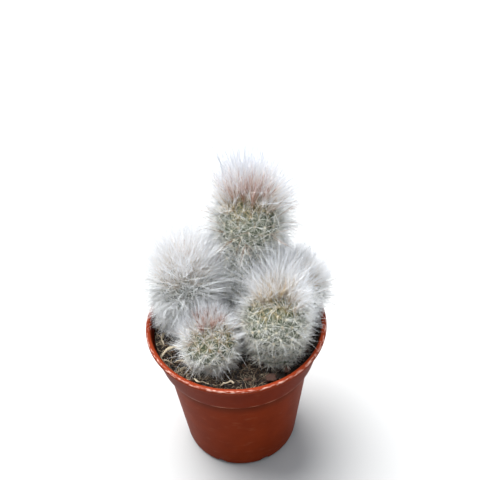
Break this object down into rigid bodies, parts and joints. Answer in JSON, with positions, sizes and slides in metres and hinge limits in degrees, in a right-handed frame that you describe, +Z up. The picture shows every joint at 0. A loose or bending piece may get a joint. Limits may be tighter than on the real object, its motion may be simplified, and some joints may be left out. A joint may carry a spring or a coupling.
{
  "type": "potted cactus",
  "caption": "Clump of white woolly cactus stems, one tall and the rest globes, standing in soil in a small tapered plastic nursery pot.",
  "frame": {"origin": "centre of the pot's flat underside, on the surface it stands on", "axes": "+Z up along the pot's axis; -Y is the side with the small globes in front, +X is the side where a globe leans over the lip"},
  "size_m": [0.0922, 0.085, 0.1632],
  "materials": {
    "terracotta_plastic": "satin",
    "peat": "matte",
    "green_flesh": "satin",
    "white_wool": "matte",
    "brown_spines": "satin",
    "straw": "matte",
    "bark": "matte"
  },
  "bodies": {
    "root": {"pot": "terracotta_plastic", "soil": "peat", "stem_left": "green_flesh", "stem_front_left": "green_flesh", "stem_front_right": "green_flesh", "stem_right": "green_flesh", "stem_tall": "green_flesh", "wool_left": "white_wool", "wool_front_left": "white_wool", "wool_front_right": "white_wool", "wool_right": "white_wool", "wool_tall": "white_wool", "crown_spines_left": "brown_spines", "crown_spines_front_left": "brown_spines", "crown_spines_front_right": "brown_spines", "crown_spines_right": "brown_spines", "crown_spines_tall": "brown_spines", "straw_1": "straw", "straw_2": "straw", "straw_3": "straw", "straw_4": "straw", "straw_5": "straw", "straw_6": "straw", "bark_chip_1": "bark", "bark_chip_2": "bark", "bark_chip_3": "bark"}
  },
  "joints": []
}
